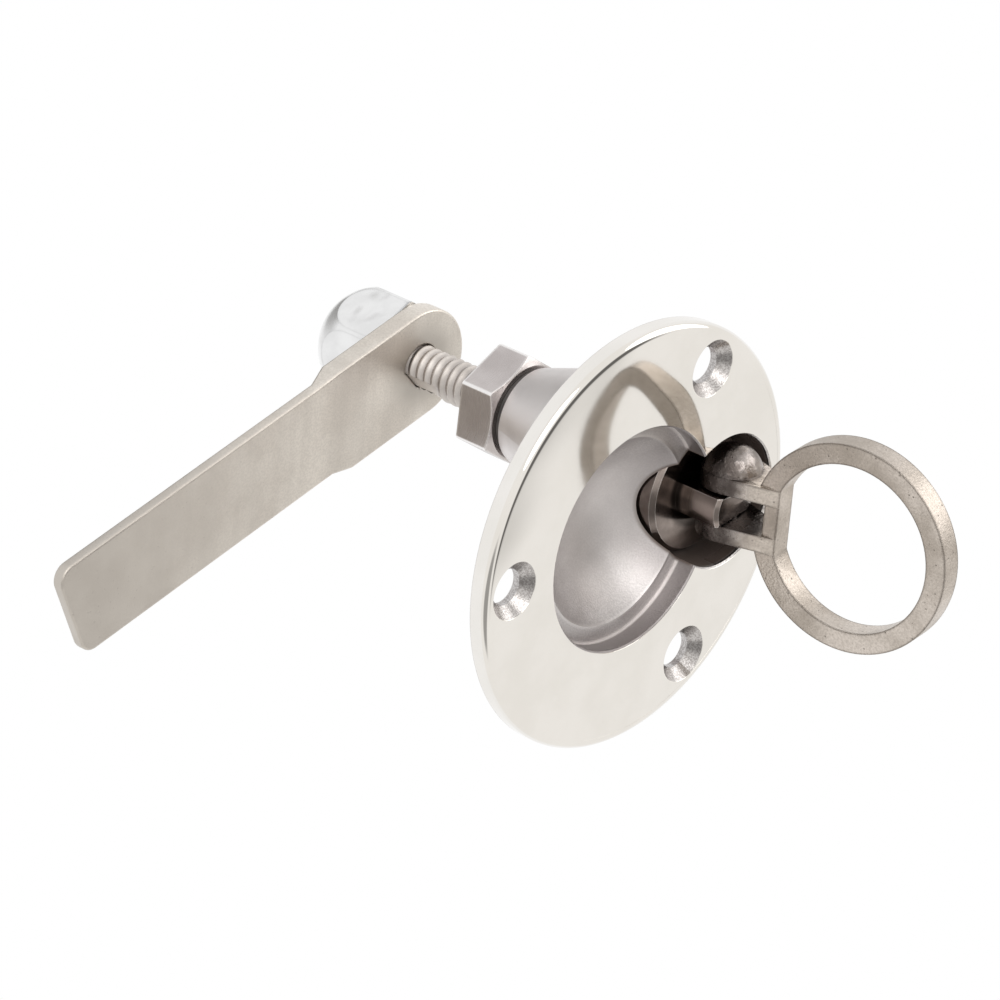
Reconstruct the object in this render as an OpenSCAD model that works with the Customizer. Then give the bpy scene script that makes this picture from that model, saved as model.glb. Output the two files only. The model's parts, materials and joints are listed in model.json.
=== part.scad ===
// Flush hatch lift ring latch: a round polished flange with a keyhole recess,
// a folding pull ring, and a turning spindle that swings a cam arm behind the hatch.
// Frame: the origin is the flange centre on its seating face, +Z points out of the hatch,
// and +X runs from the spindle towards the ring dish. The ring is drawn raised.

/* [Flange] */
// Diameter of the flange
flange_d = 75; // [72:1:90]
// Thickness of the flange
flange_t = 3.2; // [2.8:0.1:4.5]
// Radius of the rounded front edge
flange_edge_r = 1.4; // [0.6:0.1:2]
// Pitch circle diameter of the three screw holes
screw_pcd = 61; // [58:0.5:64]
// Diameter of a screw hole
screw_hole_d = 6.4; // [5:0.1:7]
// Diameter of a countersink at the front face
screw_sink_d = 10.2; // [9.4:0.1:11]
// Wall thickness of the dish and of the barrel
wall = 2.4; // [1.8:0.1:3.2]

/* [Ring dish] */
// Diameter of the dish at the front face
dish_d = 39.4; // [38:0.5:43]
// Distance of the dish centre from the flange centre
dish_x = 1; // [0:0.1:2]
// Depth of the ring's ledge below the front face
ledge_depth = 3.85; // [3.2:0.05:5]
// Width of the ring's ledge
ledge_w = 3; // [2:0.1:4]
// Depth of the finger bowl below the front face
bowl_depth = 13.3; // [10:0.1:16]
// Chamfer of the dish rim and of the bore rim
rim_chamfer = 0.3; // [0.2:0.1:0.8]

/* [Barrel] */
// Distance of the spindle axis from the flange centre
spindle_offset = 22.4; // [21:0.1:24]
// Length of the barrel behind the seating face
barrel_l = 40.4; // [32:0.2:50]
// Length of the straight front part of the barrel
barrel_straight_l = 24; // [14:0.5:28]
// Diameter of the barrel at its rear end
barrel_end_d = 17.4; // [16.5:0.1:20]

/* [Spindle] */
// Diameter of the spindle head
head_d = 22.9; // [20:0.1:24]
// Depth of the head's face below the front face
head_depth = 6.3; // [5.8:0.1:8]
// Thickness of the head
head_t = 7; // [4:0.1:9]
// Edge chamfer of the head
head_chamfer = 0.8; // [0.3:0.1:1.5]
// Diameter of the bar that carries the hinge pin
tongue_d = 11; // [9:0.1:12]
// Thickness of that bar between its flats
tongue_t = 5.2; // [4:0.1:6]
// Height of the bar's end above the front face
tongue_rise = 2.7; // [2.4:0.1:4]
// Edge chamfer of the bar's end
tongue_chamfer = 0.6; // [0.2:0.1:1]
// Diameter of the shank in the barrel
shank_d = 12; // [10:0.1:13]
// Diameter of the threaded rod behind the shank
rod_d = 8; // [6:0.1:9]
// Depth of the flat that drives the cam arm
flat_depth = 1; // [0.6:0.1:1.6]
// Length of the flat in front of the cam arm
flat_l = 7; // [3:0.1:12]
// Turn of the flat about the spindle axis
flat_clock = 43; // [0:1:90]

/* [Hinge] */
// Diameter of the hinge pin
pin_d = 3.2; // [2.5:0.1:4]
// Depth of the pin axis below the front face
pin_depth = 0.3; // [0:0.1:0.8]
// Depth by which the pin's end is sunk in the open lug
pin_sunk = 0.2; // [0:0.1:0.6]
// Distance of the pin axis behind the spindle axis
pin_back = 1.5; // [0:0.1:2]
// Thickness of each ring lug
lug_t = 3; // [2:0.1:3.5]
// Diameter of the round end of a lug
eye_d = 10.6; // [8:0.1:11]
// Diameter of the rounded boss that closes the pin hole of one lug
boss_d = 10.4; // [8:0.1:10.6]
// Height of that boss
boss_h = 4.2; // [1.5:0.1:4.4]
// Radius of the heel that stops the raised ring on the spindle head
heel_r = 3; // [2:0.1:3.5]
// Distance of the heel behind the pin when the ring is raised
heel_back = 3.9; // [2:0.1:4.5]

/* [Pull ring] */
// Gap between the folded ring and the dish wall
ring_gap = 1.2; // [0.6:0.1:2.5]
// Radial width of the ring's band
ring_band = 3.65; // [2.5:0.05:5]
// Thickness of the ring
ring_t = 4.4; // [3:0.1:5]
// Thickness of the straight bar between the lugs
bar_t = 2.7; // [2:0.1:3.5]
// Angle by which the ring stands up from the folded position
ring_raise = 98; // [92:1:100]

/* [Seals and washers] */
// Thickness of the washer under the spindle head
head_washer_t = 0.8; // [0.5:0.1:1.5]
// Thickness of the washer between barrel and retaining nut
thrust_washer_t = 1.3; // [0.5:0.1:2]
// Outer diameter of that washer
thrust_washer_d = 15.6; // [15:0.1:16.5]
// Cross-section of the sealing ring on the shank
seal_d = 1.5; // [1:0.1:2]
// Depth of the sealing ring behind the seating face
seal_depth = 24; // [20:0.5:30]

/* [Retaining nut] */
// Width across the flats
nut_af = 18; // [16:0.1:21]
// Height of the nut
nut_h = 7.6; // [6:0.1:10]
// Turn of the nut about its axis
nut_clock = 27; // [0:1:59]
// Height over which the corners of the nut are turned off
nut_chamfer = 1; // [0.6:0.1:1.4]

/* [Cam arm] */
// Distance from the seating face to the arm's clamping face
grip = 66.8; // [62:0.2:80]
// Length from the spindle axis to the arm's end
arm_l = 86; // [60:1:110]
// Width of the blade
arm_w = 18.7; // [15:0.1:22]
// Thickness of the blade
arm_t = 2.2; // [1.6:0.1:3.5]
// Corner radius at the arm's end
arm_corner_r = 3; // [1:0.1:5]
// Slant of the arm's end
arm_end_slant = 8; // [0:1:12]
// Width of the arm's head
arm_head_w = 20.4; // [20:0.1:25]
// Thickness of the arm's head
arm_head_t = 4.1; // [3.8:0.1:7]
// Distance of the head's round end behind the spindle axis
arm_head_back = 0.6; // [0:0.1:2]
// Sideways shift of the blade against the head
blade_shift = 0.4; // [0:0.1:0.6]
// Height of the head's face above the blade's clamping face
arm_relief = 0.3; // [0:0.1:1]
// Distance from the spindle axis to the start of the step
arm_step_at = 19.5; // [14:0.5:26]
// Length of the sloping step between head and blade
arm_step_l = 4.5; // [2:0.5:8]
// Angle between the arm and the folded ring
arm_clock = 15.5; // [-30:0.5:30]

/* [Dome nut] */
// Width across the flats
dome_af = 19; // [16:0.1:21]
// Diameter of the turned dome
dome_d = 21.5; // [18:0.1:23]
// Overall height
dome_h = 17; // [14:0.1:18]
// Depth of the blind hole
dome_hole_l = 11; // [8:0.1:12]

/* [Clearances] */
// Radial clearance of the spindle head in its bore
head_clear = 0.45; // [0.3:0.05:0.8]
// Radial clearance of a running fit
run_clear = 0.06; // [0.02:0.01:0.1]
// Radial clearance of a screwed or pressed fit
set_clear = 0.03; // [0.02:0.01:0.06]
// Side clearance between lug and bar
lug_clear = 0.3; // [0.1:0.05:0.4]
// Gap between the folded ring and its ledge
ring_seat_gap = 0.35; // [0.3:0.05:0.8]
// Gap between the raised ring's heel and the spindle head
stop_gap = 0.3; // [0.2:0.05:0.6]
// Gap between the rod's end and the bottom of the blind hole
rod_end_gap = 1; // [0.5:0.1:2]
// Axial clearance of a washer or of a pin in its blind hole
washer_clear = 0.1; // [0.05:0.05:0.2]

/* [Hidden] */
$fn = 96;
eps = 0.01;
over = 1;
screw_angles = [0, 120, 240];

front_z = flange_t;
ledge_z = front_z - ledge_depth;
bowl_z = front_z - bowl_depth;
ledge_r = dish_d / 2 - ledge_w;
bowl_h = ledge_z - bowl_z;
bowl_r = (ledge_r * ledge_r + bowl_h * bowl_h) / (2 * bowl_h);

bore_d = head_d + 2 * head_clear;
head_z = front_z - head_depth;
bore_floor_z = head_z - head_t - head_washer_t - washer_clear;
barrel_d = bore_d + 2 * wall;
shank_bore_d = shank_d + 2 * run_clear;

nut_front_z = -barrel_l - thrust_washer_t - washer_clear;
nut_rear_z = nut_front_z - nut_h;
arm_z = -grip + arm_relief;
arm_back_z = arm_z - arm_head_t;
rod_end_z = arm_back_z - dome_hole_l + rod_end_gap;
flat_x = rod_d / 2 - flat_depth;

pin_x = -spindle_offset - pin_back;
pin_z = front_z - pin_depth;
lug_in = tongue_t / 2 + lug_clear;
lug_out = lug_in + lug_t;
pin_blind_y = lug_out + boss_h / 4;
pin_open_y = lug_out - pin_sunk;

ring_r = dish_d / 2 - ring_gap;
ring_hole_r = ring_r - ring_band;
ring_reach = dish_x - pin_x;
ring_drop = pin_z - (ledge_z + ring_seat_gap + ring_t / 2);
bar_x = ring_reach - sqrt(ring_hole_r * ring_hole_r - lug_out * lug_out);
heel_x = -heel_back;
heel_z = head_z + stop_gap + heel_r - pin_z;
heel = [heel_x * cos(ring_raise) + heel_z * sin(ring_raise),
        heel_z * cos(ring_raise) - heel_x * sin(ring_raise)];

seal_groove_r = shank_d / 2 - seal_d - run_clear;
seal_groove_l = seal_d + 2 * washer_clear;

// Solid ring of a given height on the current axis
module tube(outer_d, inner_d, h) {
    difference() {
        cylinder(d = outer_d, h = h);
        translate([0, 0, -over]) cylinder(d = inner_d, h = h + 2 * over);
    }
}

// Disc with a chamfered top edge, standing on its base
module chamfered_disc(d, h, chamfer) {
    cylinder(d = d, h = h - chamfer);
    translate([0, 0, h - chamfer]) cylinder(d1 = d, d2 = d - 2 * chamfer, h = chamfer);
}

// Six-sided prism whose upper corners are turned off by a cone
module chamfered_hex(af, h, chamfer) {
    corner_d = af / cos(30);
    intersection() {
        cylinder(d = corner_d, h = h, $fn = 6);
        cylinder(d1 = corner_d + 2 * (h - chamfer) * tan(60), d2 = corner_d - 2 * chamfer * tan(60), h = h);
    }
}

// Places what it holds on the spindle axis at a given height
module on_spindle(z) {
    translate([-spindle_offset, 0, z]) children();
}

// Flange disc with its rounded front edge
module flange_disc() {
    rotate_extrude() {
        square([flange_d / 2 - flange_edge_r, flange_t]);
        square([flange_d / 2, flange_t - flange_edge_r]);
        translate([flange_d / 2 - flange_edge_r, flange_t - flange_edge_r]) circle(flange_edge_r);
    }
}

// Outside of the dish behind the flange: a short drum and the back of the bowl
module dish_back() {
    translate([dish_x, 0, 0]) {
        translate([0, 0, ledge_z - wall])
            cylinder(d = dish_d + 2 * wall, h = flange_t / 2 - ledge_z + wall);
        intersection() {
            translate([0, 0, bowl_z + bowl_r]) sphere(bowl_r + wall);
            translate([0, 0, bowl_z - wall - over])
                cylinder(d = dish_d, h = bowl_h + over);
        }
    }
}

// Space of the dish: the drum for the ring and the finger bowl under it
module dish_space() {
    translate([dish_x, 0, 0]) {
        translate([0, 0, ledge_z]) cylinder(d = dish_d, h = front_z - ledge_z + over);
        intersection() {
            translate([0, 0, bowl_z + bowl_r]) sphere(bowl_r);
            translate([0, 0, bowl_z - over]) cylinder(r = ledge_r, h = bowl_h + over + eps);
        }
        translate([0, 0, front_z - rim_chamfer])
            cylinder(d1 = dish_d, d2 = dish_d + 2 * (rim_chamfer + over), h = rim_chamfer + over);
    }
}

// Outside of the barrel: a straight cup and a cone that runs down to the rear end
module barrel() {
    on_spindle(-barrel_straight_l)
        cylinder(d = barrel_d, h = barrel_straight_l + flange_t / 2);
    on_spindle(-barrel_l)
        cylinder(d1 = barrel_end_d, d2 = barrel_d, h = barrel_l - barrel_straight_l + eps);
}

// Space of the barrel: the wide bore for the head and the bore for the shank
module barrel_space() {
    on_spindle(bore_floor_z) cylinder(d = bore_d, h = front_z - bore_floor_z + over);
    on_spindle(-barrel_l - over) cylinder(d = shank_bore_d, h = barrel_l + bore_floor_z + 2 * over);
    on_spindle(front_z - rim_chamfer)
        cylinder(d1 = bore_d, d2 = bore_d + 2 * (rim_chamfer + over), h = rim_chamfer + over);
}

// One countersunk screw hole through the flange
module screw_hole() {
    sink_h = (screw_sink_d - screw_hole_d) / 2;
    translate([0, 0, -over]) cylinder(d = screw_hole_d, h = flange_t + 2 * over);
    translate([0, 0, front_z - sink_h])
        cylinder(d1 = screw_hole_d, d2 = screw_sink_d + 2 * over, h = sink_h + over);
}

module flange_body() {
    color("gainsboro") difference() {
        union() {
            flange_disc();
            dish_back();
            barrel();
        }
        dish_space();
        barrel_space();
        for (angle = screw_angles)
            rotate([0, 0, angle]) translate([screw_pcd / 2, 0, 0]) screw_hole();
    }
}

// Bar with two flats that stands on the head and takes the hinge pin
module tongue() {
    tongue_h = front_z + tongue_rise - head_z;
    intersection() {
        chamfered_disc(tongue_d, tongue_h, tongue_chamfer);
        translate([-tongue_d / 2, -tongue_t / 2, -over]) cube([tongue_d, tongue_t, tongue_h + 2 * over]);
    }
}

// Threaded rod with the flat that drives the arm
module rod() {
    rod_l = nut_front_z - rod_end_z;
    flat_top = arm_z + flat_l - rod_end_z;
    difference() {
        cylinder(d = rod_d, h = rod_l + eps);
        rotate([0, 0, flat_clock])
            translate([flat_x, -rod_d, -over]) cube([rod_d, 2 * rod_d, flat_top + over]);
    }
}

module spindle() {
    color("dimgray") difference() {
        union() {
            on_spindle(head_z - head_t) chamfered_disc(head_d, head_t, head_chamfer);
            on_spindle(head_z - eps) tongue();
            on_spindle(nut_front_z) cylinder(d = shank_d, h = head_z - head_t - nut_front_z + eps);
            on_spindle(rod_end_z) rod();
        }
        on_spindle(-seal_depth - seal_groove_l / 2) tube(shank_d + over, 2 * seal_groove_r, seal_groove_l);
        translate([pin_x, 0, pin_z])
            rotate([90, 0, 0]) cylinder(d = pin_d + 2 * set_clear, h = tongue_d, center = true);
    }
}

module head_washer() {
    color("ivory") on_spindle(bore_floor_z + washer_clear / 2)
        tube(head_d, shank_d + 2 * head_clear, head_washer_t);
}

module seal_ring() {
    color("black") on_spindle(-seal_depth) rotate_extrude()
        translate([seal_groove_r + seal_d / 2 + run_clear / 2, 0]) circle(d = seal_d);
}

module thrust_washer() {
    color("black") on_spindle(-barrel_l - thrust_washer_t - washer_clear / 2)
        tube(thrust_washer_d, shank_d + 2 * run_clear, thrust_washer_t);
}

module retaining_nut() {
    color("darkgray") on_spindle(nut_rear_z) rotate([0, 0, nut_clock]) difference() {
        chamfered_hex(nut_af, nut_h, nut_chamfer);
        translate([0, 0, -over]) cylinder(d = rod_d + 2 * set_clear, h = nut_h + 2 * over);
    }
}

// Outline of the arm: a round head that narrows over the step to a blade with a slanted end
module arm_outline() {
    head_y = arm_head_w / 2;
    step_end = arm_step_at + arm_step_l;
    low_y = -arm_w / 2 - blade_shift;
    high_y = arm_w / 2 - blade_shift;
    corner_y = arm_w / 2 - arm_corner_r;
    corner_x = [for (side = [-1, 1]) arm_l - arm_corner_r - side * corner_y * tan(arm_end_slant)];
    low_corner = [corner_x[0], low_y + arm_corner_r];
    high_corner = [corner_x[1], high_y - arm_corner_r];
    out = arm_corner_r * [cos(arm_end_slant), sin(arm_end_slant)];
    translate([-arm_head_back, 0]) circle(head_y);
    polygon([[-arm_head_back, -head_y], [arm_step_at, -head_y], [step_end, low_y], [corner_x[0], low_y],
             low_corner + out, high_corner + out, [corner_x[1], high_y], [step_end, high_y],
             [arm_step_at, head_y], [-arm_head_back, head_y]]);
    translate(low_corner) circle(arm_corner_r);
    translate(high_corner) circle(arm_corner_r);
}

// Hole in the arm that fits the rod and its flat
module arm_hole() {
    rotate([0, 0, flat_clock - arm_clock]) intersection() {
        cylinder(d = rod_d + 2 * set_clear, h = arm_head_t + 2 * over);
        translate([-rod_d, -rod_d, 0]) cube([rod_d + flat_x + set_clear, 2 * rod_d, arm_head_t + 2 * over]);
    }
}

// Side view of what is cut away so that the blade is thinner than the head
module arm_step_cut(depth) {
    polygon([[arm_step_at, -over], [arm_step_at, 0], [arm_step_at + arm_step_l, depth],
             [arm_l + over, depth], [arm_l + over, -over]]);
}

module cam_arm() {
    color("silver") on_spindle(arm_back_z) rotate([0, 0, arm_clock]) difference() {
        linear_extrude(arm_head_t) arm_outline();
        translate([0, arm_head_w, 0]) rotate([90, 0, 0]) linear_extrude(2 * arm_head_w) {
            arm_step_cut(arm_head_t - arm_relief - arm_t);
            translate([0, arm_head_t]) mirror([0, 1]) arm_step_cut(arm_relief);
        }
        translate([0, 0, -over]) arm_hole();
    }
}

// Six-sided nut whose outer end is turned to a half sphere that meets the flats in scallops
module dome_nut() {
    color("white") on_spindle(arm_back_z) mirror([0, 0, 1]) rotate([0, 0, nut_clock]) difference() {
        intersection() {
            cylinder(d = dome_af / cos(30), h = dome_h + over, $fn = 6);
            union() {
                cylinder(d = dome_d, h = dome_h - dome_d / 2);
                translate([0, 0, dome_h - dome_d / 2]) sphere(dome_d / 2);
            }
        }
        translate([0, 0, -over]) cylinder(d = rod_d + 2 * set_clear, h = dome_hole_l + over);
    }
}

// Point where a line from p touches a circle at c, on its left (1) or right (-1) side
function touch(p, c, r, side) =
    let (way = p - c, angle = atan2(way.y, way.x) + side * acos(r / norm(way)))
    c + r * [cos(angle), sin(angle)];

// Side view of one lug: a round eye at the pin, the heel, and straight flanks that run to the bar
module lug_outline() {
    eye_r = eye_d / 2;
    top = [bar_x, ring_t / 2 - ring_drop];
    bottom = [bar_x, -ring_t / 2 - ring_drop];
    back_angle = atan2(heel.y, heel.x) + acos((eye_r - heel_r) / norm(heel));
    back = [cos(back_angle), sin(back_angle)];
    circle(eye_r);
    translate(heel) circle(heel_r);
    polygon([touch(bottom, [0, 0], eye_r, -1), bottom, top, touch(top, heel, heel_r, 1), heel,
             heel + heel_r * back, eye_r * back, [0, 0]]);
}

// Rounded boss of the lug with the blind hole, standing on its flat side
module lug_boss() {
    boss_r = (boss_d * boss_d / 4 + boss_h * boss_h) / (2 * boss_h);
    intersection() {
        translate([0, 0, boss_h - boss_r]) sphere(boss_r);
        translate([0, 0, -eps]) cylinder(d = boss_d, h = boss_h + over);
    }
}

// The ring as it lies folded, with the pin axis through the origin
module folded_ring() {
    difference() {
        union() {
            translate([ring_reach, 0, -ring_drop - ring_t / 2]) linear_extrude(ring_t) difference() {
                circle(ring_r);
                intersection() {
                    circle(ring_hole_r);
                    translate([bar_x - ring_reach, -ring_r]) square([2 * ring_r, 2 * ring_r]);
                }
            }
            for (side = [0, 1]) mirror([0, side, 0])
                translate([0, lug_out, 0]) rotate([90, 0, 0]) linear_extrude(lug_t) lug_outline();
            translate([0, -lug_out, 0]) rotate([90, 0, 0]) lug_boss();
        }
        translate([bar_x - bar_t - ring_r, -lug_in, -ring_r]) cube([ring_r, 2 * lug_in, 2 * ring_r]);
        translate([0, -pin_blind_y, 0]) rotate([-90, 0, 0])
            cylinder(d = pin_d + 2 * run_clear, h = pin_blind_y + lug_out + over);
    }
}

module pull_ring() {
    color("silver") translate([pin_x, 0, pin_z]) rotate([0, -ring_raise, 0]) folded_ring();
}

// Pin that is pushed in from one side and ends in the blind hole of the other lug
module hinge_pin() {
    pin_end_y = pin_blind_y - washer_clear;
    color("dimgray") translate([pin_x, -pin_end_y, pin_z])
        rotate([-90, 0, 0]) cylinder(d = pin_d, h = pin_end_y + pin_open_y);
}

flange_body();
spindle();
head_washer();
seal_ring();
thrust_washer();
retaining_nut();
cam_arm();
dome_nut();
pull_ring();
hinge_pin();
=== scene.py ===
# %% [markdown]
# # A hatch lift ring latch
# This lesson dresses a latch that was built as solids. The solids stay as they are and give
# every place and size. Here the pieces get rounded edges, a real thread and finishes such as
# mirror polish, blasted casting and turned steel, and then light and a camera.

# %% Load the solids
import json
import math

import bmesh
import bpy
from mathutils import Matrix, Vector


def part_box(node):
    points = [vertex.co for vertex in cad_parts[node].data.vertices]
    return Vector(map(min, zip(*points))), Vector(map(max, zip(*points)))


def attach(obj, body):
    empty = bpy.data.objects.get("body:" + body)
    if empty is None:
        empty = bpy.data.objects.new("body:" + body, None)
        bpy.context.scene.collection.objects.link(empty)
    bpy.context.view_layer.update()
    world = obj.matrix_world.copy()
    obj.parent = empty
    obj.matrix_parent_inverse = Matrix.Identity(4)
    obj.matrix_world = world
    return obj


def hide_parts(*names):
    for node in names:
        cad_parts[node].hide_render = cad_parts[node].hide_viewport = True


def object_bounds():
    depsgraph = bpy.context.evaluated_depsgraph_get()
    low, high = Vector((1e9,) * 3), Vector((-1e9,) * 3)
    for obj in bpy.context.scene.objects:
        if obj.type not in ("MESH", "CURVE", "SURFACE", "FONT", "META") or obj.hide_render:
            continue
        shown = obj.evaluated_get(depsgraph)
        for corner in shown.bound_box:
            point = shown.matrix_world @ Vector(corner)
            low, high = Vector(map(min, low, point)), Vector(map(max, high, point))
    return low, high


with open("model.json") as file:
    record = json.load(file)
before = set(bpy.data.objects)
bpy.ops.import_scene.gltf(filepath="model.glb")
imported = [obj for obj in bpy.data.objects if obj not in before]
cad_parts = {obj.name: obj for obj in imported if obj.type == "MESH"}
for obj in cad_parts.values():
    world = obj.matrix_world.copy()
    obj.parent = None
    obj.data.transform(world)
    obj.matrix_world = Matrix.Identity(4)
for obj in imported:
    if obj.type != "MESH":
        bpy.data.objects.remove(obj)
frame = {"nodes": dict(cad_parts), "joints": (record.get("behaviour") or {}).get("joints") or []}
solid_low, solid_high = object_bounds()
nodes = frame["nodes"]
MM = 0.001
print("solids:", sorted(nodes), [round(x / MM, 1) for x in solid_high - solid_low], "mm")

# %% [markdown]
# ## Places on the latch
# A few planes and axes of the solids are needed again and again: the front face of the
# flange, the axis that the spindle turns about, and the pin that the ring folds on. They could
# be typed in, but they would be wrong after the next change to the solids. So they are read
# from the solids and the joints. Only steps inside a piece, which no box shows, are sizes that
# are named where they are first needed.

# %% Read the main places
front_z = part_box("flange_body")[1].z
turn_joint, fold_joint = frame["joints"]
axis_x = turn_joint["pos_m"][0]
pin_x, _, pin_z = fold_joint["pos_m"]
nut_rear_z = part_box("retaining_nut")[0].z
arm_front_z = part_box("cam_arm")[1].z
rod_end_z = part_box("spindle")[0].z
tongue_top_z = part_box("spindle")[1].z
print("front", round(front_z / MM, 2), "axis", axis_x / MM, "pin", pin_x / MM, pin_z / MM, "mm")

# %% [markdown]
# ## A small kit for materials
# A material is a tree of nodes, and adding, setting and linking one node takes several lines.
# A tree could be drawn by hand in the editor as well, but a script can be read and run again.
# These helpers make a node in one line, so that the finishes below read like recipes.

# %% Add nodes and feed them
def feed(tree, socket, value):
    """Links a socket to another one, or sets it to a plain value."""
    if isinstance(value, bpy.types.NodeSocket):
        tree.links.new(value, socket)
    else:
        socket.default_value = value


def add(tree, kind, inputs=None, **settings):
    """Adds a node, makes its settings and feeds its inputs."""
    node = tree.nodes.new(kind)
    for key, value in settings.items():
        setattr(node, key, value)
    for key, value in (inputs or {}).items():
        feed(tree, node.inputs[key], value)
    return node


# %% Work with numbers and vectors
def math_node(tree, operation, a, b=0.0, clamp=False):
    return add(tree, "ShaderNodeMath", {0: a, 1: b}, operation=operation, use_clamp=clamp).outputs[0]


def times(tree, a, b):
    return math_node(tree, "MULTIPLY", a, b)


def vector_node(tree, operation, a, b):
    """Gives the vector that a vector operation makes."""
    return add(tree, "ShaderNodeVectorMath", {0: a, 1: b}, operation=operation).outputs["Vector"]


def vector_value(tree, operation, a, b=(0.0, 0.0, 0.0)):
    """Gives the one number of a dot product, a distance or a length."""
    return add(tree, "ShaderNodeVectorMath", {0: a, 1: b}, operation=operation).outputs["Value"]


# %% Find a place on the surface
def surface_point(tree):
    return add(tree, "ShaderNodeTexCoord").outputs["Object"]


def split_point(tree, point):
    """Gives the outputs X, Y and Z of a point."""
    return add(tree, "ShaderNodeSeparateXYZ", {0: point}).outputs


# %% Fade and cloud
def ramp(tree, value, low, high, to_low=0.0, to_high=1.0):
    """Runs smoothly from to_low at low to to_high at high."""
    limits = {"Value": value, "From Min": low, "From Max": high, "To Min": to_low, "To Max": to_high}
    return add(tree, "ShaderNodeMapRange", limits, interpolation_type="SMOOTHSTEP").outputs["Result"]


def noise(tree, where, scale, detail, roughness=0.5):
    """A soft random pattern with about scale blobs to the metre."""
    look = {"Vector": where, "Scale": scale, "Detail": detail, "Roughness": roughness}
    return add(tree, "ShaderNodeTexNoise", look).outputs[0]


# %% Mix tones and values
def rgba(tone):
    """Gives a plain tone its fourth number and lets a socket through."""
    return tone if isinstance(tone, bpy.types.NodeSocket) else (*tone, 1.0)


def mix_color(tree, factor, a, b):
    """A Mix node names its sockets alike for each kind, so they are picked by number."""
    return add(tree, "ShaderNodeMix", {0: factor, 6: rgba(a), 7: rgba(b)}, data_type="RGBA").outputs[2]


def mix_value(tree, factor, a, b):
    return add(tree, "ShaderNodeMix", {0: factor, 2: a, 3: b}, data_type="FLOAT").outputs[0]


# %% [markdown]
# ## Shared effects for the metals
# Steel parts differ in finish but share a few effects. A casting that was blasted with beads
# has a fine grain, cloudy tones and small pits. Edges get a painted line: a painted highlight
# on some parts, a painted dark reflection on others. Turned parts carry fine rings round their
# axis. Each effect could be drawn again in every material, but a node group keeps it in one
# place, with sockets for what differs.

# %% Start a group
def new_group(name, inputs, outputs):
    """Makes a group and gives its tree, the values it is given and the results it puts out."""
    group = bpy.data.node_groups.new(name, "ShaderNodeTree")
    for label, kind, value in inputs:
        socket = group.interface.new_socket(label, in_out="INPUT", socket_type=kind)
        socket.default_value = value
    for label in outputs:
        group.interface.new_socket(label, in_out="OUTPUT", socket_type="NodeSocketFloat")
    return group, group.nodes.new("NodeGroupInput").outputs, group.nodes.new("NodeGroupOutput").inputs


# %% Blasted grain
PITS_PER_GRAIN = 0.28
grain_group, given, result = new_group(
    "blasted_grain",
    [("Grain per mm", "NodeSocketFloat", 5.0), ("Cloud per mm", "NodeSocketFloat", 0.12)],
    ["Height", "Cloud", "Pits"])
where = surface_point(grain_group)
grain_scale = times(grain_group, given["Grain per mm"], 1 / MM)
cloud_scale = times(grain_group, given["Cloud per mm"], 1 / MM)
pit_scale = times(grain_group, grain_scale, PITS_PER_GRAIN)
grit = noise(grain_group, where, grain_scale, 3.0, 0.6)
cloud = noise(grain_group, where, cloud_scale, 4.0, 0.55)
pits = add(grain_group, "ShaderNodeTexVoronoi", {"Vector": where, "Scale": pit_scale}).outputs["Distance"]
feed(grain_group, result["Height"], grit)
feed(grain_group, result["Cloud"], ramp(grain_group, cloud, 0.32, 0.68))
feed(grain_group, result["Pits"], ramp(grain_group, pits, 0.16, 0.05))
print("group:", grain_group.name)

# %% Painted edge lines
EDGE_SAMPLES = 6
edge_group, given, result = new_group(
    "painted_edge_line", [("Width mm", "NodeSocketFloat", 0.4)], ["Edge"])
width = times(edge_group, given["Width mm"], MM)
rounded = add(edge_group, "ShaderNodeBevel", {"Radius": width}, samples=EDGE_SAMPLES).outputs["Normal"]
plain = add(edge_group, "ShaderNodeNewGeometry").outputs["Normal"]
agree = vector_value(edge_group, "DOT_PRODUCT", rounded, plain)
# A mask of sharp edges, where each finish paints a highlight or a dark reflection line.
feed(edge_group, result["Edge"], ramp(edge_group, agree, 0.995, 0.86))
print("group:", edge_group.name)

# %% Turned rings
FLATTEN = (1.0, 1.0, 0.0)
ring_group, given, result = new_group(
    "turned_rings",
    [("Centre", "NodeSocketVector", (0.0, 0.0, 0.0)), ("Rings per mm", "NodeSocketFloat", 3.0)],
    ["Height", "Radius mm"])
where = surface_point(ring_group)
moved = vector_node(ring_group, "SUBTRACT", where, given["Centre"])
flat = vector_node(ring_group, "MULTIPLY", moved, FLATTEN)
radius_mm = times(ring_group, vector_value(ring_group, "LENGTH", flat), 1 / MM)
height_mm = times(ring_group, split_point(ring_group, moved)["Z"], 1 / MM)
outward_mm = math_node(ring_group, "ADD", radius_mm, height_mm)
count = times(ring_group, outward_mm, given["Rings per mm"])
lines = add(ring_group, "ShaderNodeTexNoise", noise_dimensions="1D")
for label, value in (("W", count), ("Scale", 1.0), ("Detail", 2.0)):
    feed(ring_group, lines.inputs[label], value)
feed(ring_group, result["Height"], lines.outputs[0])
feed(ring_group, result["Radius mm"], radius_mm)
print("group:", ring_group.name)

# %% [markdown]
# ## A starting point for every finish
# Each finish is one Principled shader that lies in the material itself. The helper makes it
# with its constant values and gives back its tree and its sockets, so that each finish below
# adds only what varies over its own surface. Patterns read Object coordinates, which are the
# same as the latch's own frame, so a place in a pattern is a place on the latch.

# %% Make a finish
def finish(name, color, metallic, roughness):
    material = bpy.data.materials.new(name)
    material.use_nodes = True
    sockets = material.node_tree.nodes["Principled BSDF"].inputs
    for label, value in (("Base Color", rgba(color)), ("Metallic", metallic), ("Roughness", roughness)):
        sockets[label].default_value = value
    return material, material.node_tree, sockets


def place(tree, group, **values):
    """Places a shared effect in a material and gives its results."""
    node = add(tree, "ShaderNodeGroup", node_tree=group)
    for key, value in values.items():
        node.inputs[key.replace("_", " ")].default_value = value
    return node.outputs


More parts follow.
